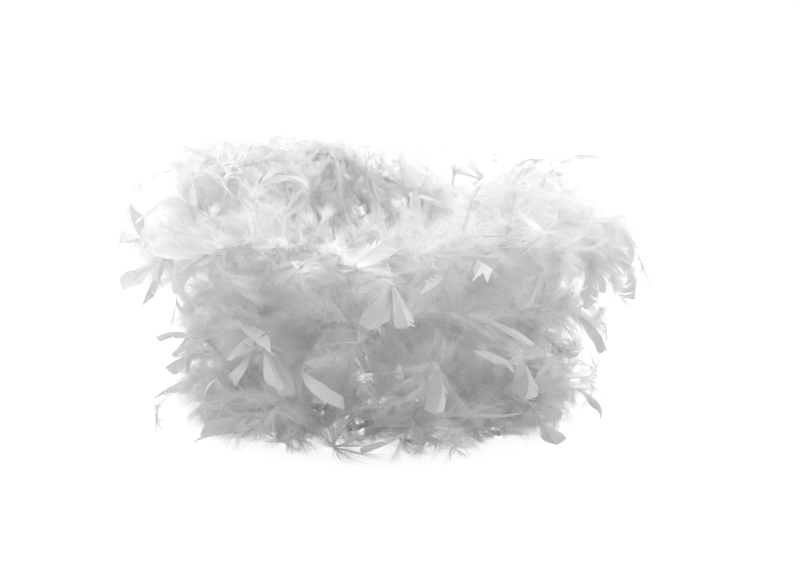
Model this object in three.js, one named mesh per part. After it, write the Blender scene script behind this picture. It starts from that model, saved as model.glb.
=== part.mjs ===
// A feather boa wound into a standing coil of three turns, millimetres, +Z up.
// It stands on z = 0 with the coil's axis on the origin. The front is -Y.
//
// A boa is a twisted cotton core with feathers tied all along it. Here the core and the feathers
// are separate solids: each feather solid is the sleeve that the feathers of one stretch fill.
// The boa starts at its lower end, behind on the left, and climbs counterclockwise seen from above.
// It steps up to the next level behind the coil, between rampStart and rampEnd.

import * as THREE from 'three';

// ---- Driving dimensions ----

const turnRadius = { bottom: 86, middle: 82, top: 102, upperEnd: 90 };
const coreRadius = 2.5; // a core of two plies, about 5 mm across
const coreSides = 8;
const boreRadius = 4; // the stems lie round the core
const sleeveHalfWidth = 40; // sideways, where the feathers spread freely
const sleeveHalfHeight = { bottom: 24, middle: 21, top: 21, upperEnd: 12 }; // pressed by their weight
const sleeveSquareness = 2.4; // 2 is an ellipse, more is boxier
const sleeveSides = 14;
const levelGap = 0.3; // between a turn and the one it lies on
const jointGap = 0.3; // between one stretch and the next
const topTurnRise = 6; // how much higher the top turn lies at the sides and back than in front
const endNarrowing = 0.7; // the share of the section left where the feathers stop
const anglePerStep = 10; // degrees

const knotRadius = 5.5;
const knotLength = 8;
const bindingRadius = 4.2; // thread wound over the last of the feather stems
const bindingThickness = 1;
const bindingLength = 7;
const tailRadius = 1.9; // the cut plies past the knot
const tailFlare = 1.3;
const tailLength = 14;
const turnedSides = 12;
// From one end of a knot to the other, as shares of its radius and its length.
const knotProfile = [[0, 0], [0.6, 0.08], [1, 0.35], [1, 0.65], [0.6, 0.92], [0, 1]];

const featherLook = { color: 0xf4f3f1, roughness: 0.9 };
const coreLook = { color: 0xece8df, roughness: 0.85 };
const threadLook = { color: 0xe9e6de, roughness: 0.85 };

// Where the boa changes level, in degrees along its winding: 0 is right, 90 behind, 180 left and
// 270 in front, and a full turn adds 360.

const lowerEndStart = 116;
const lowerBendStart = 150;
const bottomStart = 170;
const rampStart = 420;
const rampEnd = 480;
const fullTurn = 360;
const upperBendStart = rampEnd + 2 * fullTurn;
const upperEndStart = upperBendStart + 16;
const upperTipStart = upperEndStart + 32;
const upperEndStop = upperTipStart + 27;

// ---- The line the core follows ----

const bottomHeight = sleeveHalfHeight.bottom;
const middleHeight = bottomHeight + sleeveHalfHeight.bottom + levelGap + sleeveHalfHeight.middle;
const topHeight = middleHeight + sleeveHalfHeight.middle + levelGap + sleeveHalfHeight.top;
const upperEndHeight = topHeight + sleeveHalfHeight.top + levelGap + sleeveHalfHeight.upperEnd;

const smoothStep = THREE.MathUtils.smoothstep;
const mix = THREE.MathUtils.lerp;

// How far the boa has climbed from one level to the next, 0 to 1, for the ramp of that turn.
function climbed(winding, turn) {
  return smoothStep(winding, rampStart + turn * fullTurn, rampEnd + turn * fullTurn);
}

// A value that changes from one level to the next over each ramp.
function byLevel(winding, bottom, middle, top, upperEnd) {
  const onMiddle = mix(bottom, middle, climbed(winding, 0));
  const onTop = mix(onMiddle, top, climbed(winding, 1));
  return mix(onTop, upperEnd, climbed(winding, 2));
}

function radiusAt(winding) {
  const wound = byLevel(winding, turnRadius.bottom, turnRadius.middle, turnRadius.top, turnRadius.top);
  const inwards = smoothStep(winding, upperBendStart, upperEndStop);
  return mix(wound, turnRadius.upperEnd, inwards);
}

function heightAt(winding) {
  const level = byLevel(winding, bottomHeight, middleHeight, topHeight, upperEndHeight);
  const nearFront = (1 - Math.sin(THREE.MathUtils.degToRad(winding))) / 2;
  return level + topTurnRise * (1 - nearFront ** 2) * climbed(winding, 1);
}

function halfHeightAt(winding) {
  const halves = sleeveHalfHeight;
  return byLevel(winding, halves.bottom, halves.middle, halves.top, halves.upperEnd);
}

// A stretch of the core's line, from one winding angle to another. Its sections stay upright and
// in planes through the coil's axis, so neighbouring stretches meet on parallel faces. grow gives
// a section's height and width at a winding angle.
class CoreLine extends THREE.Curve {
  constructor(from, to, grow = () => [1, 1]) {
    super();
    this.from = from;
    this.to = to;
    this.grow = grow;
  }

  getPoint(t, target = new THREE.Vector3()) {
    const winding = mix(this.from, this.to, t);
    const angle = THREE.MathUtils.degToRad(winding);
    const radius = radiusAt(winding);
    return target.set(radius * Math.cos(angle), radius * Math.sin(angle), heightAt(winding));
  }

  getPointAt(u, target) {
    return this.getPoint(u, target);
  }

  getSpacedPoints(divisions) {
    return this.getPoints(divisions);
  }

  computeFrenetFrames(segments) {
    const frames = { tangents: [], normals: [], binormals: [] };
    for (let i = 0; i <= segments; i++) {
      const winding = mix(this.from, this.to, i / segments);
      const angle = THREE.MathUtils.degToRad(winding);
      const [height, width] = this.grow(winding);
      frames.tangents.push(new THREE.Vector3(-Math.sin(angle), Math.cos(angle), 0));
      frames.normals.push(new THREE.Vector3(0, 0, height));
      frames.binormals.push(new THREE.Vector3(Math.cos(angle) * width, Math.sin(angle) * width, 0));
    }
    return frames;
  }
}

// ---- Sections ----

// The outline of a sleeve: a boxy ellipse of unit height, sat on a flat side.
function sleeveSection() {
  const outline = [];
  const power = 2 / sleeveSquareness;
  const flat = Math.cos(Math.PI / sleeveSides) ** power;
  for (let i = 0; i < sleeveSides; i++) {
    const angle = ((i + 0.5) * 2 * Math.PI) / sleeveSides;
    const up = Math.sign(Math.cos(angle)) * Math.abs(Math.cos(angle)) ** power;
    const out = Math.sign(Math.sin(angle)) * Math.abs(Math.sin(angle)) ** power;
    outline.push(new THREE.Vector2(up / flat, out * sleeveHalfWidth));
  }
  return outline;
}

function roundSection(radius, sides) {
  const outline = [];
  for (let i = 0; i < sides; i++) {
    const angle = (i * 2 * Math.PI) / sides;
    outline.push(new THREE.Vector2(radius * Math.cos(angle), radius * Math.sin(angle)));
  }
  return outline;
}

function alongLine(line, shape) {
  const steps = Math.max(2, Math.round((line.to - line.from) / anglePerStep));
  return new THREE.ExtrudeGeometry(shape, { steps, extrudePath: line, curveSegments: 1 });
}

// ---- Finishes ----

function finish(look) {
  return new THREE.MeshStandardMaterial({ ...look, metalness: 0 });
}

// ---- Pieces ----

const boa = new THREE.Group();

function addPiece(name, geometry, material) {
  const piece = new THREE.Mesh(geometry, material);
  piece.name = name;
  boa.add(piece);
  return piece;
}

// The angle that a length along the boa takes up at a winding angle.
function angleOf(length, winding) {
  return THREE.MathUtils.radToDeg(length / radiusAt(winding));
}

// Half a joint's gap as an angle, measured on the inside of the coil where it is narrowest.
function gapAngle(winding) {
  return THREE.MathUtils.radToDeg(jointGap / 2 / (radiusAt(winding) - sleeveHalfWidth));
}

// The feathers of one stretch. narrowing says how much of the section is left at a winding angle.
function addFeathers(name, from, to, narrowing = () => 1, narrowest = 1) {
  const halfHeight = halfHeightAt((from + to) / 2);
  const outline = sleeveSection().map((point) => new THREE.Vector2(point.x * halfHeight, point.y));
  const shape = new THREE.Shape(outline);
  shape.holes.push(new THREE.Path(roundSection(boreRadius / narrowest, coreSides)));
  const grow = (winding) => {
    const left = narrowing(winding);
    return [(left * halfHeightAt(winding)) / halfHeight, left];
  };
  const line = new CoreLine(from + gapAngle(from), to - gapAngle(to), grow);
  addPiece(name, alongLine(line, shape), finish(featherLook));
}

function addCore(name, from, to) {
  const shape = new THREE.Shape(roundSection(coreRadius, coreSides));
  const line = new CoreLine(from + gapAngle(from), to - gapAngle(to));
  addPiece(name, alongLine(line, shape), finish(coreLook));
}

// Feathers and core of one stretch of a turn.
function addStretch(name, from, to) {
  addFeathers(`feathers_${name}`, from, to);
  addCore(`core_${name}`, from, to);
}

// A solid of revolution that lies along the boa. profile lists [distance from the line, distance
// along it], and start is how far past the winding angle it begins.
function addTurned(name, profile, length, winding, towardsEnd, start, look) {
  const points = profile.map(([radius, along]) => new THREE.Vector2(radius, along - length / 2));
  const piece = addPiece(name, new THREE.LatheGeometry(points, turnedSides), finish(look));
  const middle = winding + towardsEnd * angleOf(start + length / 2, winding);
  const line = new CoreLine(middle, middle + 1);
  const [tangent] = line.computeFrenetFrames(1).tangents;
  const up = new THREE.Vector3(0, 1, 0);
  piece.quaternion.setFromUnitVectors(up, tangent.multiplyScalar(towardsEnd));
  piece.position.copy(line.getPoint(0));
}

// An end of the boa: thread bound over the last stems, then the knot and the cut plies.
function addEnd(name, winding, towardsEnd) {
  const wall = bindingRadius - bindingThickness;
  const binding = [
    [wall, 0],
    [bindingRadius, 0],
    [bindingRadius, bindingLength],
    [wall, bindingLength],
    [wall, 0],
  ];
  const knot = knotProfile.map(([out, along]) => [out * knotRadius, along * knotLength]);
  const tail = [
    [0, 0],
    [tailRadius, 0],
    [tailRadius * tailFlare, tailLength],
    [0, tailLength],
  ];
  const knotStart = bindingLength + 3 * jointGap;
  const tailStart = knotStart + knotLength + jointGap;
  addTurned(`${name}_binding`, binding, bindingLength, winding, towardsEnd, jointGap, threadLook);
  addTurned(`${name}_knot`, knot, knotLength, winding, towardsEnd, knotStart, coreLook);
  addTurned(`${name}_tail`, tail, tailLength, winding, towardsEnd, tailStart, coreLook);
}

// A turn's stretches of feathers, one to each sixth of the way round, on one length of core.
function addTurn(turn, places, from, to) {
  const share = (to - from) / places.length;
  places.forEach((place, i) => {
    addFeathers(`feathers_${turn}_${place}`, from + i * share, from + (i + 1) * share);
  });
  addCore(`core_${turn}`, from, to);
}

// ---- The boa, from its lower end to its upper one ----

const behindLeft = 'back_left';
const roundTheCoil = ['left', 'front_left', 'front_right', 'right', 'back_right'];
const coreReach = bindingLength + 2 * jointGap; // the core runs on through the binding to the knot

function lowerNarrowing(winding) {
  const along = (winding - lowerEndStart) / (lowerBendStart - lowerEndStart);
  return mix(endNarrowing, 1, Math.sqrt(THREE.MathUtils.clamp(along, 0, 1)));
}

function upperNarrowing(winding) {
  const along = (upperEndStop - winding) / (upperEndStop - upperTipStart);
  return mix(endNarrowing, 1, Math.sqrt(THREE.MathUtils.clamp(along, 0, 1)));
}

addEnd('lower_end', lowerEndStart, -1);
addFeathers('feathers_lower_end', lowerEndStart, lowerBendStart, lowerNarrowing, endNarrowing);
addCore('core_lower_end', lowerEndStart - angleOf(coreReach, lowerEndStart), lowerBendStart);
addStretch('lower_bend', lowerBendStart, bottomStart);

addTurn('bottom', roundTheCoil, bottomStart, rampStart);
addStretch('ramp_to_middle', rampStart, rampEnd);
addTurn('middle', [behindLeft, ...roundTheCoil], rampEnd, rampStart + fullTurn);
addStretch('ramp_to_top', rampStart + fullTurn, rampEnd + fullTurn);
addTurn('top', [behindLeft, ...roundTheCoil], rampEnd + fullTurn, rampStart + 2 * fullTurn);
addStretch('ramp_to_upper_end', rampStart + 2 * fullTurn, upperBendStart);

addStretch('upper_bend', upperBendStart, upperEndStart);
addFeathers('feathers_upper_end', upperEndStart, upperTipStart);
addFeathers('feathers_upper_tip', upperTipStart, upperEndStop, upperNarrowing, endNarrowing);
addCore('core_upper_end', upperEndStart, upperEndStop + angleOf(coreReach, upperEndStop));
addEnd('upper_end', upperEndStop, 1);

export default boa;
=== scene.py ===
import math

import bpy
import numpy as np
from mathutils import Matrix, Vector


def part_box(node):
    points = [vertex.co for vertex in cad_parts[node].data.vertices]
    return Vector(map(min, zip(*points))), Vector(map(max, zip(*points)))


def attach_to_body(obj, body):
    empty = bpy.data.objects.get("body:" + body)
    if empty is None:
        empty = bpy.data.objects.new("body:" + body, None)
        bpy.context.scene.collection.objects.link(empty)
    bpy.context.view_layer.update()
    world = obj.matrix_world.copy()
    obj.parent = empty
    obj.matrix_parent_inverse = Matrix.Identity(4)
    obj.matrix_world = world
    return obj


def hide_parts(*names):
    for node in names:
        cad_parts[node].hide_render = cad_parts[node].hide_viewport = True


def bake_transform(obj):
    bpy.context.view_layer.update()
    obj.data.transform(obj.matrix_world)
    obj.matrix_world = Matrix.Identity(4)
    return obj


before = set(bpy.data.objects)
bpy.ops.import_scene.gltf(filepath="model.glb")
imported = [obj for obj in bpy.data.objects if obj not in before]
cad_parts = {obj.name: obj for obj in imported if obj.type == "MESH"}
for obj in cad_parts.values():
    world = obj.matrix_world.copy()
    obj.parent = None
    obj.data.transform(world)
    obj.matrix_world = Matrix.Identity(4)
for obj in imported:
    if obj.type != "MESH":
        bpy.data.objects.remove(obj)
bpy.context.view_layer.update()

dice = np.random.default_rng(41)
print("frame loaded:", len(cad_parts), "nodes")

# The boa is made straight first, with x along its core, y outwards and z up, all in metres,
# and then laid along the line of the coil.

# the line of the coil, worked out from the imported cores

coil = {
    "coreRadius": 0.0025,
    "lowerEndStart": 116, "lowerBendStart": 150, "bottomStart": 170,   # degrees of winding
    "rampStart": 420, "rampEnd": 480,
    "upperBendStart": 1200, "upperEndStart": 1216, "upperTipStart": 1248, "upperEndStop": 1275,
    "topTurnRise": 0.006,   # the top turn lies higher at its sides and back
    "upperEndRadius": 0.090,
    "spareAngle": 40,       # the line runs on past both ends, for feathers that overhang
}


def middleHeight(node):
    low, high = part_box(node)
    return (low[2] + high[2]) / 2


turnRadius = [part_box("core_" + turn)[1][0] - coil["coreRadius"] for turn in ("bottom", "middle", "top")]
turnHeight = [middleHeight("core_bottom"), middleHeight("core_middle"),
              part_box("core_top")[0][2] + coil["coreRadius"],
              middleHeight("feathers_upper_bend") - coil["topTurnRise"]]


def smoothStep(value, low, high):
    share = np.clip((value - low) / (high - low), 0, 1)
    return share * share * (3 - 2 * share)


def byLevel(winding, levels):
    value = np.full(np.shape(winding), float(levels[0]))
    for turn, level in enumerate(levels[1:]):
        climbed = smoothStep(winding, coil["rampStart"] + 360 * turn, coil["rampEnd"] + 360 * turn)
        value = value + (level - value) * climbed
    return value


def nearFront(winding):
    return (1 - np.sin(np.radians(winding))) / 2


def coreRadiusAt(winding):
    wound = byLevel(winding, turnRadius + turnRadius[2:])
    inwards = smoothStep(winding, coil["upperBendStart"], coil["upperEndStop"])
    return wound + (coil["upperEndRadius"] - wound) * inwards


def coreHeightAt(winding):
    onTop = smoothStep(winding, coil["rampStart"] + 360, coil["rampEnd"] + 360)
    return byLevel(winding, turnHeight) + coil["topTurnRise"] * (1 - nearFront(winding) ** 2) * onTop


lineWinding = np.arange(coil["lowerEndStart"] - coil["spareAngle"],
                        coil["upperEndStop"] + coil["spareAngle"], 1.0)
lineRadius = coreRadiusAt(lineWinding)
lineAngle = np.radians(lineWinding)
lineLength = np.concatenate([[0], np.cumsum(np.linalg.norm(np.diff(np.column_stack([
    lineRadius * np.cos(lineAngle), lineRadius * np.sin(lineAngle), coreHeightAt(lineWinding)
]), axis=0), axis=1))])


def lengthAt(winding):
    return np.interp(winding, lineWinding, lineLength)


def windingAt(length):
    return np.interp(length, lineLength, lineWinding)


# How far the feathers reach before their neighbours or the surface hold them back.
room = {
    "sideways": 0.0612,
    "freeInFront": 0.054, "freeElsewhere": 0.048,   # up from the top turn
    "onUpperBend": 0.012, "onUpperEnd": 0.020,
    "betweenTurns": 0.033,
    "flare": 0.021,         # how much more the feathers spread up and down where they stick out sideways
    "flareFrom": 0.012, "flareTo": 0.040,
    "hanging": 0.058,       # under a ramp
    # degrees of winding over which one limit gives way to the next
    "turnBelow": (470, 490), "openAbove": (905, 950),
    "ontoUpperBend": (1130, 1200), "ontoUpperEnd": (1216, 1250),
    "floorGap": 0.0004,
    "haze": 0.007, "mostHaze": 0.3,   # how far the down stands past the shafts
    "leastHeight": 0.002,
    "softness": 6,          # more lets them run straight nearer to the limit
}


def betweenTurns(out):
    return room["betweenTurns"] + room["flare"] * smoothStep(np.abs(out), room["flareFrom"], room["flareTo"])


def roomAbove(winding, out):
    free = room["freeElsewhere"] + (room["freeInFront"] - room["freeElsewhere"]) * nearFront(winding) ** 2
    between = betweenTurns(out)
    height = between + (free - between) * smoothStep(winding, *room["openAbove"])
    height = height + (room["onUpperBend"] - height) * smoothStep(winding, *room["ontoUpperBend"])
    return height + (room["onUpperEnd"] - height) * smoothStep(winding, *room["ontoUpperEnd"])


def roomBelow(winding, out):
    onFloor = np.minimum(coreHeightAt(winding) - room["floorGap"], room["hanging"])
    return onFloor + (betweenTurns(out) - onFloor) * smoothStep(winding, *room["turnBelow"])


def heldBack(reach, limit):
    return reach / (1 + np.abs(reach / limit) ** room["softness"]) ** (1 / room["softness"])


def layAlong(points):
    along, out, up = points[:, 0], points[:, 1], points[:, 2]
    winding = windingAt(along)
    out = heldBack(out, room["sideways"])
    up = np.where(up > 0, heldBack(up, roomAbove(winding, out)), heldBack(up, roomBelow(winding, out)))
    angle = np.radians(winding)
    radius = coreRadiusAt(winding) + out
    return np.column_stack([radius * np.cos(angle), radius * np.sin(angle), coreHeightAt(winding) + up])


boaLength = lengthAt(coil["upperEndStop"]) - lengthAt(coil["lowerEndStart"])
print("core line:", round(float(boaLength), 3), "m from sleeve end to sleeve end")

# small parts that repeat, each modelled once


def deselectAll():
    if bpy.context.object and bpy.context.object.mode != "OBJECT":
        bpy.ops.object.mode_set(mode="OBJECT")
    bpy.ops.object.select_all(action="DESELECT")


def selectFarEnd(piece):
    top = max(vertex.co.y for vertex in piece.data.vertices) - 1e-6
    for vertex in piece.data.vertices:
        vertex.select = vertex.co.y > top
    for edge in piece.data.edges:
        edge.select = all(piece.data.vertices[i].co.y > top for i in edge.vertices)
    for face in piece.data.polygons:
        face.select = all(piece.data.vertices[i].co.y > top for i in face.vertices)


# A flat strip one unit long; widths are its width in each row, from root to tip.
def modelStrip(name, widths):
    steps = len(widths) - 1
    deselectAll()
    bpy.ops.mesh.primitive_plane_add(size=1, location=(0, 0.5, 0))
    strip = bpy.context.object
    strip.name = name
    bpy.ops.object.transform_apply(location=True, rotation=False, scale=False)
    for step in range(steps - 1):
        selectFarEnd(strip)
        bpy.ops.object.mode_set(mode="EDIT")
        bpy.ops.mesh.extrude_edges_move(TRANSFORM_OT_translate={"value": (0, 1, 0)})
        bpy.ops.object.mode_set(mode="OBJECT")
    for vertex in strip.data.vertices:
        row = round(vertex.co.y)
        vertex.co.x *= widths[row]
        vertex.co.y = row / steps
    return strip


# A square tube one unit long, closed at both ends; widths are its radius in each row, to the corners.
def modelShaft(name, widths):
    steps = len(widths) - 1
    deselectAll()
    bpy.ops.mesh.primitive_circle_add(vertices=4, radius=1, fill_type="NGON", rotation=(math.pi / 2, 0, 0))
    shaft = bpy.context.object
    shaft.name = name
    bpy.ops.object.transform_apply(location=False, rotation=True, scale=False)
    for step in range(steps):
        selectFarEnd(shaft)
        bpy.ops.object.mode_set(mode="EDIT")
        bpy.ops.mesh.extrude_region_move(TRANSFORM_OT_translate={"value": (0, 1, 0)})
        bpy.ops.object.mode_set(mode="OBJECT")
    bpy.ops.object.mode_set(mode="EDIT")
    bpy.ops.mesh.select_all(action="SELECT")
    bpy.ops.mesh.normals_make_consistent(inside=False)
    bpy.ops.object.mode_set(mode="OBJECT")
    for vertex in shaft.data.vertices:
        row = round(vertex.co.y)
        vertex.co.x *= widths[row]
        vertex.co.z *= widths[row]
        vertex.co.y = row / steps
    return shaft


# The points row by row from the root, and the faces that join them.
def readOff(piece):
    points = np.array([vertex.co[:] for vertex in piece.data.vertices])
    faces = np.array([face.vertices[:] for face in piece.data.polygons])
    order = np.lexsort((points[:, 0], np.round(points[:, 1], 6)))
    renumbered = np.argsort(order)
    bpy.data.objects.remove(piece, do_unlink=True)
    return points[order], renumbered[faces]


# feathers

feather = {
    "spacing": 0.0027,             # along the core
    "thicker": {"ramp_to_middle": 1.9, "lower_end": 1.4, "ramp_to_upper_end": 1.2, "upper_bend": 1.3},
    "thickerOnTop": 1.2,           # where nothing lies on it
    "turnToNext": 137.5, "turnJitter": 0.5,   # round the core, in degrees and radians
    "sideways": 0.42,              # how far the crowding above and below turns the feathers sideways
    "length": (0.052, 0.078),      # shaft, root to tip
    # the share that is short, to cover the core, and how much shorter and straighter it is
    "short": 0.26, "shortLength": 0.36, "shortCurl": 0.35,
    "lean": (-50, 50), "mostLean": 80,   # degrees along the core where the shaft is tied
    "tiedIn": 0.8,                 # the share of the core's radius where it starts
    "curl": (15, 115),             # degrees that the shaft turns from root to tip
    "curlPower": (0.9, 2.2),       # more puts the turn nearer the tip
    "crowding": 2.6, "crowdedCurl": 45,   # feathers tied above and below bend sideways
    "freeOnTop": 0.95,             # but less on the top turn
    "bendMore": (1.0, 1.3, 1.7, 2.2, 2.8, 3.5), "mostBend": 230,   # tried in turn until a shaft fits
    "trail": 1.0, "droop": 0.4, "hang": 1.2,   # the ones that stick out sideways hang the most
    "endLean": 55, "endReach": 0.034,     # feathers near an end lean over it
    # the share that may have a flat web at the tip; short ones never do
    "webbed": 0.68, "webbedAtUpperEnd": 0.2,
    "fewerWebsFrom": (1080, 1160),   # degrees of winding
    "stray": 0.05, "strayCurl": 0.4,   # the share that is little more than a bare quill
    "tableSteps": 28,
    "overrun": 1.4,                # the barbs of the tip reach past the shaft's end
}
shaft = {
    "radius": 0.00036, "strayRadius": 0.00050,
    "widths": (1.0, 0.92, 0.82, 0.72, 0.60, 0.46, 0.30, 0.08),
}
down = {
    "widths": (1.0, 0.75, 0.10),
    "count": 600, "strayCount": 60,
    # barbs stick together in locks
    "locks": 26, "lockSpread": 0.022, "lockAngle": 7, "gather": 0.85, "mostGathered": 0.6,
    "from": 0.02, "toOnWebbed": 0.64, "toOnPlume": 0.99,   # share of the shaft that carries down
    "onShort": 0.7,
    "under": 0.12, "underTo": 0.24,   # this share of it is a thick undercoat at the root
    "length": (0.015, 0.030), "shorterAtTip": 0.40,
    "shortest": 0.75, "longer": 0.5, "mostlyShort": 3,   # each barb beside its lock's length
    "width": 0.00015,
    "angle": (35, 85), "angleAtTip": 0.55, "turn": (-24, 12), "spread": 42, "drift": 16,
    "bendEachRow": 1.5,
}
web = {
    "widths": (1.0, 1.0, 1.0, 1.0),
    "bands": 15,                   # on each side of the shaft
    "from": (0.44, 0.62),
    "narrowest": 0.0024, "broadest": 0.0080, "mostlyNarrow": 1.1,
    "root": 0.2, "widening": (0.8, 2.5), "taper": (1.2, 7.0),   # how fast it widens, then narrows
    "sweep": 0.9, "sweepEase": 0.35,   # how far the edge runs ahead of the shaft
    "fold": (10, 85),             # degrees, each side by itself
    "twist": 45, "cup": (0.0, 40.0), "ruffle": 0.12, "waves": 9,
    "splitShare": 0.16, "split": 0.22, "splitLift": 0.4, "unevenness": 0.02,
    "margin": 0.08,                # how far one band runs under the next
    "streaks": (90, 1800, 1), "streaksFrom": (0, 4),   # each web has its own streaks
}

barbPoints, barbFaces = readOff(modelStrip("barb", down["widths"]))
bandPoints, bandFaces = readOff(modelStrip("webBand", web["widths"]))
shaftPoints, shaftFaces = readOff(modelShaft("shaft", shaft["widths"]))
print("templates modelled:", len(barbFaces), len(bandFaces), len(shaftFaces), "faces")


def unit(vectors):
    return vectors / np.linalg.norm(vectors, axis=-1, keepdims=True)


def between(pair, shape):
    return dice.uniform(pair[0], pair[1], shape)


# How many times too far each path reaches for the room round the core.
def overReach(path):
    inside = path[:, :round(feather["tableSteps"] / feather["overrun"])]
    winding = windingAt(inside[..., 0])
    out, up = inside[..., 1], inside[..., 2]
    height = np.where(up > 0, roomAbove(winding, out), roomBelow(winding, out))
    height = height - np.minimum(room["haze"], room["mostHaze"] * height)
    upwards = np.max(np.abs(up) / np.maximum(height, room["leastHeight"]), axis=1)
    sideways = np.max(np.abs(out), axis=1) / (room["sideways"] - room["haze"])
    return upwards, sideways


# The shafts of one stretch: each one's path as a table of points, with the ways that its web faces.
def growShafts(count, spots):
    angle = np.arange(count) * math.radians(feather["turnToNext"])
    angle = angle + dice.uniform(-feather["turnJitter"], feather["turnJitter"], count)
    angle = angle - feather["sideways"] * np.sin(2 * angle)
    lean = between(feather["lean"], count)
    fromStart = spots - lengthAt(coil["lowerEndStart"])
    fromStop = lengthAt(coil["upperEndStop"]) - spots
    lean -= feather["endLean"] * (1 - smoothStep(fromStart, 0, feather["endReach"]))
    lean += feather["endLean"] * (1 - smoothStep(fromStop, 0, feather["endReach"]))
    lean = np.radians(np.clip(lean, -feather["mostLean"], feather["mostLean"]))
    alongCore = np.array([1.0, 0, 0])
    outwards = np.column_stack([np.zeros(count), np.cos(angle), np.sin(angle)])
    start = unit(outwards * np.cos(lean)[:, None] + alongCore * np.sin(lean)[:, None])
    free = smoothStep(windingAt(spots), *room["openAbove"]) * (np.sin(angle) > 0)
    crowded = np.abs(np.sin(angle)) * (1 - feather["freeOnTop"] * free)
    side = dice.normal(size=(count, 3))
    side += alongCore * (feather["trail"] * np.sign(dice.uniform(-1, 1, count)))[:, None]
    side[:, 1] += feather["crowding"] * crowded * np.sign(dice.uniform(-1, 1, count))
    side[:, 2] -= feather["droop"] + feather["hang"] * np.abs(np.cos(angle))
    side = unit(side - start * np.sum(side * start, axis=1, keepdims=True))
    length = between(feather["length"], count)
    short = dice.uniform(size=count) < feather["short"]
    length = np.where(short, length * feather["shortLength"], length)
    curl = np.radians(between(feather["curl"], count) + feather["crowdedCurl"] * crowded)
    curl = np.where(short, curl * feather["shortCurl"], curl)
    kind = dice.uniform(size=count)
    webbedShare = feather["webbed"] + (feather["webbedAtUpperEnd"] - feather["webbed"]) * smoothStep(
        windingAt(spots), *feather["fewerWebsFrom"])
    stray = ~short & (kind > 1 - feather["stray"])
    curl = np.where(stray, curl * feather["strayCurl"], curl)
    steps = feather["tableSteps"]
    share = np.linspace(0, feather["overrun"], steps + 1)
    bend = share[None, :] ** between(feather["curlPower"], (count, 1))
    step = (length * feather["overrun"] / steps)[:, None, None]
    path = facing = None
    for more in feather["bendMore"]:
        turned = np.minimum(curl * more, math.radians(feather["mostBend"]))[:, None, None] * bend[..., None]
        tangent = np.cos(turned) * start[:, None] + np.sin(turned) * side[:, None]
        newFacing = -np.sin(turned) * start[:, None] + np.cos(turned) * side[:, None]
        moved = np.cumsum((tangent[:, 1:] + tangent[:, :-1]) / 2, axis=1) * step
        newPath = np.concatenate([np.zeros((count, 1, 3)), moved], axis=1)
        newPath += outwards[:, None] * coil["coreRadius"] * feather["tiedIn"]
        newPath[..., 0] += spots[:, None]
        if path is None:
            path, facing = newPath, newFacing
        else:
            path = np.where(tooFar[:, None, None], newPath, path)
            facing = np.where(tooFar[:, None, None], newFacing, facing)
        upwards, sideways = overReach(path)
        tooFar = np.maximum(upwards, sideways) > 1
    path[..., 1] /= np.maximum(sideways, 1)[:, None]
    path[..., 2] /= np.maximum(upwards, 1)[:, None]
    return {"path": path, "facing": facing, "across": np.cross(start, side), "length": length,
            "webbed": ~short & (kind < webbedShare), "stray": stray, "short": short}


# A place beside a shaft: across it, along it, and off it on the side that it curls to.
def onShaft(shafts, which, across, along, off):
    steps = feather["tableSteps"]
    at = np.clip(along / (shafts["length"][which] * feather["overrun"]), 0, 1) * steps
    low = np.minimum(at.astype(int), steps - 1)
    part = (at - low)[..., None]
    path = shafts["path"][which, low] * (1 - part) + shafts["path"][which, low + 1] * part
    facing = shafts["facing"][which, low] * (1 - part) + shafts["facing"][which, low + 1] * part
    return path + shafts["across"][which] * across[..., None] + facing * off[..., None]


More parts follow.
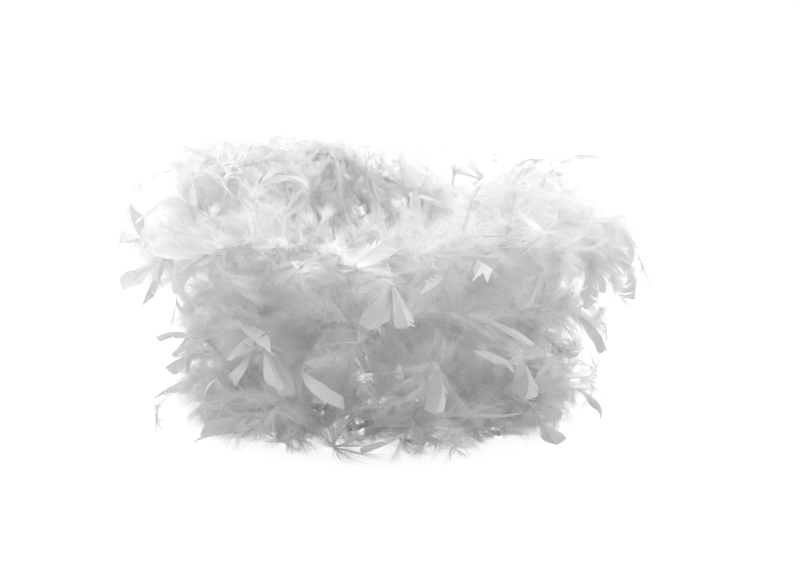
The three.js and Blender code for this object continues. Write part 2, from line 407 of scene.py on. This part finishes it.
def growDown(shafts):
    count = len(shafts["length"])
    each = np.where(shafts["stray"], down["strayCount"], down["count"])
    which = np.repeat(np.arange(count), each)
    total = len(which)
    locks = count * down["locks"]
    feathered = np.arange(locks) // down["locks"]
    reachTo = np.where(shafts["webbed"], down["toOnWebbed"], down["toOnPlume"])[feathered]
    short = shafts["short"][feathered]
    reachTo = np.where(~short & (dice.uniform(size=locks) < down["under"]), down["underTo"], reachTo)
    lockShare = down["from"] + (reachTo - down["from"]) * dice.uniform(size=locks)
    lockSide = np.where(dice.uniform(size=locks) < 0.5, 0.0, math.pi)
    lockAzimuth = lockSide + np.radians(dice.normal(0, down["spread"], locks))
    lockPolar = np.radians(between(down["angle"], locks)) * (1 - down["angleAtTip"] * lockShare ** 3)
    lockTurn = np.radians(between(down["turn"], locks))
    lockDrift = np.radians(dice.normal(0, down["drift"], locks))
    lockLength = between(down["length"], locks) * (1 - down["shorterAtTip"] * lockShare ** 3)
    lockLength = np.where(short, lockLength * down["onShort"], lockLength)
    lock = which * down["locks"] + dice.integers(0, down["locks"], total)
    apart = down["lockSpread"] * dice.normal(size=total)
    share = np.clip(lockShare[lock] + apart, down["from"], down["toOnPlume"])
    apart = share - lockShare[lock]
    jitter = np.radians(down["lockAngle"])
    azimuth = lockAzimuth[lock] + jitter * dice.normal(size=total)
    longer = down["longer"] * dice.uniform(size=total) ** down["mostlyShort"]
    length = lockLength[lock] * (down["shortest"] + longer)
    gathered = down["gather"] * apart * shafts["length"][which] / (length * np.sin(lockPolar[lock]))
    gathered = np.clip(gathered, -down["mostGathered"], down["mostGathered"])
    polar = lockPolar[lock] + gathered + jitter * dice.normal(size=total)
    turn = lockTurn[lock]
    drift = lockDrift[lock]
    rows = len(down["widths"]) - 1
    centres = np.zeros((total, rows + 1, 3))
    centres[:, 0, 1] = share * shafts["length"][which]
    for row in range(rows):
        heading = polar + turn * down["bendEachRow"] * row
        roll = azimuth + drift * down["bendEachRow"] * row
        way = np.column_stack([np.sin(heading) * np.cos(roll), np.cos(heading),
                               np.sin(heading) * np.sin(roll)])
        centres[:, row + 1] = centres[:, row] + way * (length / rows)[:, None]
    flat = unit(np.cross(way, dice.normal(size=(total, 3))))
    local = centres[:, :, None, :] + flat[:, None, None, :] * (
        barbPoints[:, 0].reshape(1, rows + 1, 2, 1) * down["width"])
    points = onShaft(shafts, which[:, None, None], local[..., 0], local[..., 1], local[..., 2])
    return points.reshape(-1, 3), tiled(barbFaces, total, len(barbPoints))


# The web is laid down in bands that run out from the shaft and forwards, as its barbs do.
def growWebs(shafts):
    chosen = np.flatnonzero(shafts["webbed"])
    webs, bands, columns = len(chosen), web["bands"], len(web["widths"])
    total = webs * 2 * bands

    def perWeb(values):
        return np.repeat(values, 2 * bands)[:, None, None]

    def perSide(pair):
        return np.repeat(between(pair, webs * 2), bands)[:, None, None]

    side = np.tile(np.repeat([-1.0, 1.0], bands), webs)[:, None, None]
    length = perWeb(shafts["length"][chosen])
    start = perWeb(between(web["from"], webs)) * length
    half = perWeb(web["narrowest"] + (web["broadest"] - web["narrowest"])
                  * dice.uniform(size=webs) ** web["mostlyNarrow"])
    cup = perWeb(between(web["cup"], webs))
    twist = perWeb(np.radians(dice.normal(0, web["twist"], webs)))
    phase = perSide((0, 2 * math.pi))
    widening = perSide(web["widening"])
    taper = perSide(web["taper"])
    fold = np.radians(perSide(web["fold"]))
    split = np.where(dice.uniform(size=total) < web["splitShare"], web["split"], web["unevenness"])
    split = (split * dice.normal(size=total))[:, None, None]

    band = np.tile(np.arange(bands), webs * 2)[:, None, None]
    edge = np.array([0.0, 1.0 + web["margin"]])[None, None, :]
    share = np.clip((band + edge) / bands, 0, 1)
    out = np.linspace(0, 1, columns)[None, :, None]
    width = half * np.minimum(1, web["root"] + widening * share) * np.minimum(1, taper * (1 - share))
    reach = width * out
    along = start + (length - start) * share + reach * (web["sweep"] * (1 - web["sweepEase"] * out) + split)
    ruffle = web["ruffle"] * half * out ** 2 * np.sin(web["waves"] * share + phase)
    flatAcross = side * reach * np.cos(fold)
    flatOff = reach * np.sin(fold) + cup * reach ** 2 + ruffle + split * web["splitLift"] * reach
    flatAcross, flatOff, along = np.broadcast_arrays(flatAcross, flatOff, along)
    turned = twist * share
    across = flatAcross * np.cos(turned) - flatOff * np.sin(turned)
    off = flatAcross * np.sin(turned) + flatOff * np.cos(turned)
    which = np.repeat(chosen, 2 * bands)[:, None, None]
    points = onShaft(shafts, which, across, along, off)
    root = perWeb(between(web["streaksFrom"], webs)) + (start + (length - start) * share) + 0 * out
    onWeb = np.stack([side * reach + 0 * root, root], axis=-1)
    return points.reshape(-1, 3), tiled(bandFaces, total, len(bandPoints)), onWeb.reshape(-1, 2)


def growQuills(shafts):
    count = len(shafts["length"])
    which = np.arange(count)[:, None]
    radius = np.where(shafts["stray"], shaft["strayRadius"], shaft["radius"])[:, None]
    points = onShaft(shafts, which, shaftPoints[None, :, 0] * radius,
                     shaftPoints[None, :, 1] * shafts["length"][:, None], shaftPoints[None, :, 2] * radius)
    return points.reshape(-1, 3), tiled(shaftFaces, count, len(shaftPoints))


# meshes


def tiled(faces, copies, pointsEach):
    return (faces[None] + (np.arange(copies) * pointsEach)[:, None, None]).reshape(-1, faces.shape[1])


def meshFrom(name, points, quads, finish, onSurface=None):
    mesh = bpy.data.meshes.new(name)
    mesh.vertices.add(len(points))
    mesh.vertices.foreach_set("co", np.ascontiguousarray(points, dtype=np.float32).ravel())
    mesh.loops.add(quads.size)
    mesh.loops.foreach_set("vertex_index", quads.astype(np.int32).ravel())
    mesh.polygons.add(len(quads))
    mesh.polygons.foreach_set("loop_start", (np.arange(len(quads)) * 4).astype(np.int32))
    mesh.polygons.foreach_set("loop_total", np.full(len(quads), 4, np.int32))
    mesh.update()
    mesh.shade_smooth()
    if onSurface is not None:
        layer = mesh.uv_layers.new(name="barbs")
        layer.data.foreach_set("uv", onSurface[quads.ravel()].astype(np.float32).ravel())
    piece = bpy.data.objects.new(name, mesh)
    bpy.context.scene.collection.objects.link(piece)
    mesh.materials.append(finish)
    return piece


# finishes


def newFinish(name):
    material = bpy.data.materials.new(name)
    material.use_nodes = True
    tree = material.node_tree
    return material, tree, tree.nodes["Principled BSDF"]


def addNoise(tree, vector, scale, detail=3):
    noise = tree.nodes.new("ShaderNodeTexNoise")
    noise.inputs["Scale"].default_value = scale
    noise.inputs["Detail"].default_value = detail
    tree.links.new(vector, noise.inputs["Vector"])
    return noise.outputs["Fac"]


tintFrom, tintTo = 0.35, 0.65   # the noise seldom leaves this range


def addRamp(tree, value, low, high):
    ramp = tree.nodes.new("ShaderNodeValToRGB")
    ramp.color_ramp.elements[0].position = tintFrom
    ramp.color_ramp.elements[1].position = tintTo
    ramp.color_ramp.elements[0].color = (*low, 1)
    ramp.color_ramp.elements[1].color = (*high, 1)
    tree.links.new(value, ramp.inputs["Fac"])
    return ramp.outputs["Color"]


def addRange(tree, value, low, high):
    spread = tree.nodes.new("ShaderNodeMapRange")
    spread.inputs["To Min"].default_value = low
    spread.inputs["To Max"].default_value = high
    tree.links.new(value, spread.inputs["Value"])
    return spread.outputs["Result"]


def addBump(tree, shader, value, distance, strength):
    bump = tree.nodes.new("ShaderNodeBump")
    bump.inputs["Strength"].default_value = strength
    bump.inputs["Distance"].default_value = distance
    tree.links.new(value, bump.inputs["Height"])
    tree.links.new(bump.outputs["Normal"], shader.inputs["Normal"])


def objectPlace(tree):
    return tree.nodes.new("ShaderNodeTexCoord").outputs["Object"]


# Streaks that run out from the shaft, from the web's own map.
def barbStreaks(tree):
    place = tree.nodes.new("ShaderNodeUVMap")
    place.uv_map = "barbs"
    drawn = tree.nodes.new("ShaderNodeMapping")
    drawn.inputs["Scale"].default_value = web["streaks"]
    tree.links.new(place.outputs["UV"], drawn.inputs["Vector"])
    return addNoise(tree, drawn.outputs["Vector"], 1.0, 4)


def makeFinish(name, facts, streaks=None):
    material, tree, shader = newFinish(name)
    place = objectPlace(tree)
    fine = streaks(tree) if streaks else addNoise(tree, place, facts["fineScale"], 2)
    tint = addRamp(tree, addNoise(tree, place, facts["scale"]), facts["low"], facts["high"])
    if facts.get("streakTint"):
        mix = tree.nodes.new("ShaderNodeMix")
        mix.data_type = "RGBA"
        mix.blend_type = "MULTIPLY"
        mix.inputs["Factor"].default_value = 1.0
        tree.links.new(tint, mix.inputs["A"])
        tree.links.new(addRamp(tree, fine, facts["streakTint"], (1, 1, 1)), mix.inputs["B"])
        tint = mix.outputs["Result"]
    tree.links.new(tint, shader.inputs["Base Color"])
    tree.links.new(addRange(tree, fine, *facts["roughness"]), shader.inputs["Roughness"])
    addBump(tree, shader, fine, facts["bumpDepth"], facts["bump"])
    shader.inputs["Specular IOR Level"].default_value = facts["specular"]
    shader.inputs["Sheen Weight"].default_value = facts["sheen"]
    if facts["through"] > 0:
        glow = tree.nodes.new("ShaderNodeBsdfTranslucent")
        tree.links.new(tint, glow.inputs["Color"])
        mix = tree.nodes.new("ShaderNodeMixShader")
        mix.inputs["Fac"].default_value = facts["through"]
        tree.links.new(shader.outputs[0], mix.inputs[1])
        tree.links.new(glow.outputs[0], mix.inputs[2])
        tree.links.new(mix.outputs[0], tree.nodes["Material Output"].inputs["Surface"])
    return material


downFinish = makeFinish("whiteDown", {
    "low": (0.91, 0.91, 0.91), "high": (0.96, 0.96, 0.955), "scale": 60, "fineScale": 900,
    "roughness": (0.75, 0.95), "bump": 0.2, "bumpDepth": 0.0001, "specular": 0.2, "sheen": 0.2,
    "through": 0.6})
webFinish = makeFinish("whiteWeb", {
    "low": (0.95, 0.95, 0.945), "high": (0.99, 0.99, 0.985), "scale": 90, "streakTint": (0.90, 0.90, 0.90),
    "roughness": (0.35, 0.60), "bump": 0.35, "bumpDepth": 0.0002, "specular": 0.45, "sheen": 0.1,
    "through": 0.55}, barbStreaks)
quillFinish = makeFinish("paleQuill", {
    "low": (0.95, 0.945, 0.93), "high": (0.99, 0.985, 0.975), "scale": 200, "fineScale": 1500,
    "roughness": (0.25, 0.45), "bump": 0.15, "bumpDepth": 0.0001, "specular": 0.5, "sheen": 0.0,
    "through": 0.1})
cordFinish = makeFinish("twistedCotton", {
    "low": (0.78, 0.78, 0.77), "high": (0.86, 0.86, 0.85), "scale": 400, "fineScale": 2600,
    "roughness": (0.75, 0.95), "bump": 0.6, "bumpDepth": 0.0003, "specular": 0.2, "sheen": 0.3,
    "through": 0.0})
threadFinish = makeFinish("bindingThread", {
    "low": (0.86, 0.855, 0.84), "high": (0.93, 0.925, 0.91), "scale": 900, "fineScale": 3500,
    "roughness": (0.55, 0.75), "bump": 0.4, "bumpDepth": 0.0001, "specular": 0.35, "sheen": 0.2,
    "through": 0.0})
print("finishes made")

# the stretches of the boa

sixths = ["left", "front_left", "front_right", "right", "back_right"]


def turnStretches(turn, names, start, stop):
    share = (stop - start) / len(names)
    return [(turn + "_" + name, start + i * share, start + (i + 1) * share, turn + "_turn")
            for i, name in enumerate(names)]


# each with its name, the winding it runs from and to, and the body it rides on, or the two it joins
stretches = [("lower_end", coil["lowerEndStart"], coil["lowerBendStart"], "lower_end"),
             ("lower_bend", coil["lowerBendStart"], coil["bottomStart"], ("lower_end", "bottom_turn"))]
stretches += turnStretches("bottom", sixths, coil["bottomStart"], coil["rampStart"])
stretches += [("ramp_to_middle", coil["rampStart"], coil["rampEnd"], ("bottom_turn", "middle_turn"))]
stretches += turnStretches("middle", ["back_left"] + sixths, coil["rampEnd"], coil["rampStart"] + 360)
stretches += [("ramp_to_top", coil["rampStart"] + 360, coil["rampEnd"] + 360, ("middle_turn", "top_turn"))]
stretches += turnStretches("top", ["back_left"] + sixths, coil["rampEnd"] + 360, coil["rampStart"] + 720)
stretches += [("ramp_to_upper_end", coil["rampStart"] + 720, coil["upperBendStart"], "top_turn"),
              ("upper_bend", coil["upperBendStart"], coil["upperEndStart"], ("top_turn", "upper_end")),
              ("upper_end", coil["upperEndStart"], coil["upperTipStart"], "upper_end"),
              ("upper_tip", coil["upperTipStart"], coil["upperEndStop"], "upper_end")]


def attach(piece, body):
    if isinstance(body, tuple):
        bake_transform(piece)
    else:
        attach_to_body(piece, body)


counts = np.zeros(3, int)
for name, start, stop, body in stretches:
    low, high = lengthAt(start), lengthAt(stop)
    crowd = feather["thickerOnTop"] if name.startswith("top_") else feather["thicker"].get(name, 1)
    count = round(float(high - low) / feather["spacing"] * crowd)
    spots = low + (high - low) * (np.arange(count) + dice.uniform(0, 1, count)) / count
    shafts = growShafts(count, spots)
    points, faces = growDown(shafts)
    piece = meshFrom("down_" + name, layAlong(points), faces, downFinish)
    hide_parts("feathers_" + name)
    attach(piece, body)
    counts += (count, len(faces), 0)
    points, faces, onWeb = growWebs(shafts)
    piece = meshFrom("webs_" + name, layAlong(points), faces, webFinish, onWeb)
    attach(piece, body)
    counts += (0, 0, len(faces))
    points, faces = growQuills(shafts)
    piece = meshFrom("shafts_" + name, layAlong(points), faces, quillFinish)
    attach(piece, body)
print("feathers laid:", counts[0], "with", counts[1], "faces of down and", counts[2], "of web")

# the core, of two twisted plies, and what finishes its ends

core = {
    "plyRadius": 0.0013, "plyOffset": 0.0012, "plySides": 8,
    "pitch": 0.011, "stepsPerPitch": 9,
    "smoothUnder": 50,           # degrees
    "reachPastEnd": 0.0076,      # the core runs on through the binding to the knot
}
binding = {"start": 0.0003, "length": 0.007, "radius": 0.0042, "threadRadius": 0.00036,
           "sides": 6, "stepsPerTurn": 16}
knot = {"start": 0.0079, "length": 0.008, "radius": 0.0055, "cordRadius": 0.0019, "points": 48}
tail = {
    "start": 0.0162, "length": 0.014,
    "twisted": 0.6,              # the rest is frayed
    "plyRadius": 0.00095, "plyOffset": 0.0009, "pitch": 0.010, "sides": 8, "steps": 14,
    "fibres": 46, "fibreWidth": 0.00022, "fibreSpread": 0.0011, "spreads": (0.2, 1.6),
    "fibreStart": 0.9, "fibreLengths": (0.8, 1.0), "fibreOut": 2.2, "fibreFlare": 1.5,
}


# Strands wound round the x axis, from x = 0: circles in line round it, drawn out by a screw.
def windStrands(name, strands, length, radius, offset, pitch, sides, steps, phase=0.0):
    deselectAll()
    made = []
    for strand in range(strands):
        turn = phase + strand * 2 * math.pi / strands
        bpy.ops.mesh.primitive_circle_add(vertices=sides, radius=radius, rotation=(0, math.pi / 2, 0),
                                          location=(0, offset * math.cos(turn), offset * math.sin(turn)))
        made.append(bpy.context.object)
    deselectAll()
    for piece in made:
        piece.select_set(True)
    bpy.context.view_layer.objects.active = made[0]
    if strands > 1:
        bpy.ops.object.join()
    piece = bpy.context.object
    piece.name = name
    bpy.ops.object.transform_apply(location=True, rotation=True, scale=True)
    screw = piece.modifiers.new("wind", "SCREW")
    screw.axis = "X"
    screw.angle = 2 * math.pi * length / pitch
    screw.screw_offset = length
    screw.steps = steps
    screw.render_steps = steps
    bpy.ops.object.modifier_apply(modifier="wind")
    bpy.ops.object.mode_set(mode="EDIT")
    bpy.ops.mesh.select_all(action="SELECT")
    bpy.ops.mesh.fill_holes(sides=0)
    bpy.ops.mesh.select_all(action="SELECT")
    bpy.ops.mesh.normals_make_consistent(inside=False)
    bpy.ops.object.mode_set(mode="OBJECT")
    bpy.ops.object.shade_smooth_by_angle(angle=math.radians(core["smoothUnder"]))
    return piece


# Moves a straight piece to its place on the coil; towards is -1 where it points back past the lower end.
def layPiece(piece, startAt, towards=1):
    mesh = piece.data
    points = np.empty(len(mesh.vertices) * 3, np.float32)
    mesh.vertices.foreach_get("co", points)
    points = points.reshape(-1, 3).astype(float)
    points[:, 0] = startAt + towards * points[:, 0]
    points[:, 1] *= towards
    mesh.vertices.foreach_set("co", layAlong(points).astype(np.float32).ravel())
    mesh.update()


def addCord(name, start, stop, body, before=0.0, after=0.0):
    low, high = float(lengthAt(start)) - before, float(lengthAt(stop)) + after
    steps = max(3, round((high - low) / core["pitch"] * core["stepsPerPitch"]))
    phase = 2 * math.pi * low / core["pitch"]
    piece = windStrands("cord_" + name, 2, high - low, core["plyRadius"], core["plyOffset"], core["pitch"],
                        core["plySides"], steps, phase)
    layPiece(piece, low)
    piece.data.materials.append(cordFinish)
    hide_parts("core_" + name)
    attach(piece, body)


bodyOf = {name: body for name, start, stop, body in stretches}
addCord("lower_end", coil["lowerEndStart"], coil["lowerBendStart"], "lower_end", before=core["reachPastEnd"])
addCord("lower_bend", coil["lowerBendStart"], coil["bottomStart"], bodyOf["lower_bend"])
addCord("bottom", coil["bottomStart"], coil["rampStart"], "bottom_turn")
addCord("ramp_to_middle", coil["rampStart"], coil["rampEnd"], bodyOf["ramp_to_middle"])
addCord("middle", coil["rampEnd"], coil["rampStart"] + 360, "middle_turn")
addCord("ramp_to_top", coil["rampStart"] + 360, coil["rampEnd"] + 360, bodyOf["ramp_to_top"])
addCord("top", coil["rampEnd"] + 360, coil["rampStart"] + 720, "top_turn")
addCord("ramp_to_upper_end", coil["rampStart"] + 720, coil["upperBendStart"], "top_turn")
addCord("upper_bend", coil["upperBendStart"], coil["upperEndStart"], bodyOf["upper_bend"])
addCord("upper_end", coil["upperEndStart"], coil["upperEndStop"], "upper_end", after=core["reachPastEnd"])
print("core twisted")


def finishEndPiece(piece, node, body, end, startAt, towards, finish):
    layPiece(piece, float(lengthAt(end)) + towards * startAt, towards)
    piece.data.materials.append(finish)
    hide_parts(node)
    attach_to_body(piece, body)


# Thread wound close round the stems.
def modelBinding(name):
    pitch = binding["threadRadius"] * 2
    turns = (binding["length"] - pitch) / pitch
    return windStrands(name, 1, binding["length"] - pitch, binding["threadRadius"],
                       binding["radius"] - binding["threadRadius"], pitch, binding["sides"],
                       round(turns * binding["stepsPerTurn"]))


# A pulled-tight overhand knot: the cord goes round three times over and under itself.
def modelKnot(name):
    count = knot["points"]
    around = (knot["radius"] - knot["cordRadius"]) / 3
    ahead = knot["length"] / 2 - knot["cordRadius"]
    curve = bpy.data.curves.new(name, "CURVE")
    curve.dimensions = "3D"
    line = curve.splines.new("POLY")
    line.points.add(count - 1)
    line.use_cyclic_u = True
    for i, point in enumerate(line.points):
        turn = 2 * math.pi * i / count
        point.co = (knot["length"] / 2 + ahead * math.sin(3 * turn),
                    around * (math.cos(turn) - 2 * math.cos(2 * turn)),
                    around * (math.sin(turn) + 2 * math.sin(2 * turn)), 1)
    curve.bevel_depth = knot["cordRadius"]
    curve.bevel_resolution = 2
    piece = bpy.data.objects.new(name, curve)
    bpy.context.scene.collection.objects.link(piece)
    deselectAll()
    piece.select_set(True)
    bpy.context.view_layer.objects.active = piece
    bpy.ops.object.convert(target="MESH")
    bpy.ops.object.shade_smooth()
    return bpy.context.object


# The plies past the knot, twisted for a way and frayed out where they were cut.
def modelTail(name):
    twisted = tail["length"] * tail["twisted"]
    piece = windStrands(name, 2, twisted, tail["plyRadius"], tail["plyOffset"], tail["pitch"],
                        tail["sides"], tail["steps"])
    total = tail["fibres"]
    rows = len(down["widths"])
    turn = dice.uniform(0, 2 * math.pi, total)
    out = tail["plyOffset"] * np.sqrt(dice.uniform(0, tail["fibreOut"], total))
    fibreStart = twisted * tail["fibreStart"]
    centres = np.zeros((total, rows, 3))
    for row in range(rows):
        share = row / (rows - 1)
        spread = out + tail["fibreSpread"] * share ** tail["fibreFlare"] * between(tail["spreads"], total)
        along = fibreStart + (tail["length"] - fibreStart) * share * between(tail["fibreLengths"], total)
        centres[:, row] = np.column_stack([along, spread * np.cos(turn), spread * np.sin(turn)])
    flat = unit(np.cross(np.array([[1.0, 0, 0]]), dice.normal(size=(total, 3))))
    points = centres[:, :, None, :] + flat[:, None, None, :] * (
        barbPoints[:, 0].reshape(1, rows, 2, 1) * tail["fibreWidth"])
    faces = tiled(barbFaces, total, len(barbPoints))
    brush = meshFrom(name + "_fibres", points.reshape(-1, 3), faces, cordFinish)
    brush.data.materials.clear()
    deselectAll()
    brush.select_set(True)
    piece.select_set(True)
    bpy.context.view_layer.objects.active = piece
    bpy.ops.object.join()
    return bpy.context.object


ends = (("lower_end", coil["lowerEndStart"], -1), ("upper_end", coil["upperEndStop"], 1))
for end, winding, towards in ends:
    finishEndPiece(modelBinding(end + "_thread"), end + "_binding", end, winding,
                   binding["start"] + binding["threadRadius"], towards, threadFinish)
    finishEndPiece(modelKnot(end + "_overhand_knot"), end + "_knot", end, winding,
                   knot["start"], towards, cordFinish)
    finishEndPiece(modelTail(end + "_cut_plies"), end + "_tail", end, winding,
                   tail["start"], towards, cordFinish)
print("ends bound and knotted")

# floor, light and camera

studio = {
    "floorSize": 60.0,
    "lens": 85, "elevation": 8.0, "distance": 1.10, "aim": (0.010, 0.0, 0.081),
    "background": 1.05,              # what the camera sees
    "behind": 1.10, "front": 0.19,   # what lights the boa, from behind and from the camera's side
    "darkFrom": -0.80, "brightFrom": -0.05,
    # the camera sees the table darker and glowing, which comes out paler and nearly shadowless
    "table": 0.60, "tableSeen": 0.16, "tableGlow": 0.91,
    "tableRoughness": 0.9, "tableShine": 0.1,
}


def onlySeen(tree, seen, unseen):
    rays = tree.nodes.new("ShaderNodeLightPath")
    choice = tree.nodes.new("ShaderNodeMix")
    choice.inputs["A"].default_value = unseen
    choice.inputs["B"].default_value = seen
    tree.links.new(rays.outputs["Is Camera Ray"], choice.inputs["Factor"])
    return choice


def addFloor():
    deselectAll()
    bpy.ops.mesh.primitive_plane_add(size=studio["floorSize"], location=(0, 0, 0))
    floor = bpy.context.object
    floor.name = "floor"
    material, tree, shader = newFinish("paleFloor")
    shade = onlySeen(tree, studio["tableSeen"], studio["table"])
    tree.links.new(shade.outputs["Result"], shader.inputs["Base Color"])
    shader.inputs["Roughness"].default_value = studio["tableRoughness"]
    shader.inputs["Specular IOR Level"].default_value = studio["tableShine"]
    shader.inputs["Emission Color"].default_value = (1, 1, 1, 1)
    glow = onlySeen(tree, studio["tableGlow"], 0.0)
    tree.links.new(glow.outputs["Result"], shader.inputs["Emission Strength"])
    floor.data.materials.append(material)


# big soft panels, far off
panels = {
    "overhead": {"from": (0, 0.45, 1), "strength": 1.5, "angle": 60},
    "left": {"from": (-1, 0.1, 0.15), "strength": 1.25, "angle": 60},
    "right": {"from": (1, 0.1, 0.15), "strength": 1.25, "angle": 60},
}


def addPanel(name, facts):
    light = bpy.data.lights.new(name, "SUN")
    light.energy = facts["strength"]
    light.angle = math.radians(facts["angle"])
    lamp = bpy.data.objects.new(name, light)
    lamp.rotation_euler = Vector(facts["from"]).to_track_quat("Z", "Y").to_euler()
    bpy.context.scene.collection.objects.link(lamp)


def addWorld():
    world = bpy.data.worlds.new("studio")
    world.use_nodes = True
    tree = world.node_tree
    shade = tree.nodes["Background"]
    way = tree.nodes.new("ShaderNodeTexCoord")
    parts = tree.nodes.new("ShaderNodeSeparateXYZ")
    lighting = tree.nodes.new("ShaderNodeMapRange")
    lighting.interpolation_type = "SMOOTHSTEP"
    lighting.inputs["From Min"].default_value = studio["darkFrom"]
    lighting.inputs["From Max"].default_value = studio["brightFrom"]
    lighting.inputs["To Min"].default_value = studio["front"]
    lighting.inputs["To Max"].default_value = studio["behind"]
    tree.links.new(way.outputs["Generated"], parts.inputs[0])
    tree.links.new(parts.outputs["Y"], lighting.inputs["Value"])
    strength = onlySeen(tree, studio["background"], 0.0)
    tree.links.new(lighting.outputs[0], strength.inputs["A"])
    tree.links.new(strength.outputs["Result"], shade.inputs["Strength"])
    shade.inputs["Color"].default_value = (1, 1, 1, 1)
    bpy.context.scene.world = world


def addCamera():
    lens = bpy.data.cameras.new("camera")
    lens.lens = studio["lens"]
    lens.clip_start = 0.05
    camera = bpy.data.objects.new("camera", lens)
    tilt = math.radians(studio["elevation"])
    aim = studio["aim"]
    camera.location = (aim[0], aim[1] - studio["distance"] * math.cos(tilt),
                       aim[2] + studio["distance"] * math.sin(tilt))
    camera.rotation_euler = (math.pi / 2 - tilt, 0, 0)
    bpy.context.scene.collection.objects.link(camera)
    bpy.context.scene.camera = camera


addFloor()
for name, facts in panels.items():
    addPanel(name, facts)
addWorld()
addCamera()
bpy.context.scene.view_settings.view_transform = "Standard"
print("studio set")
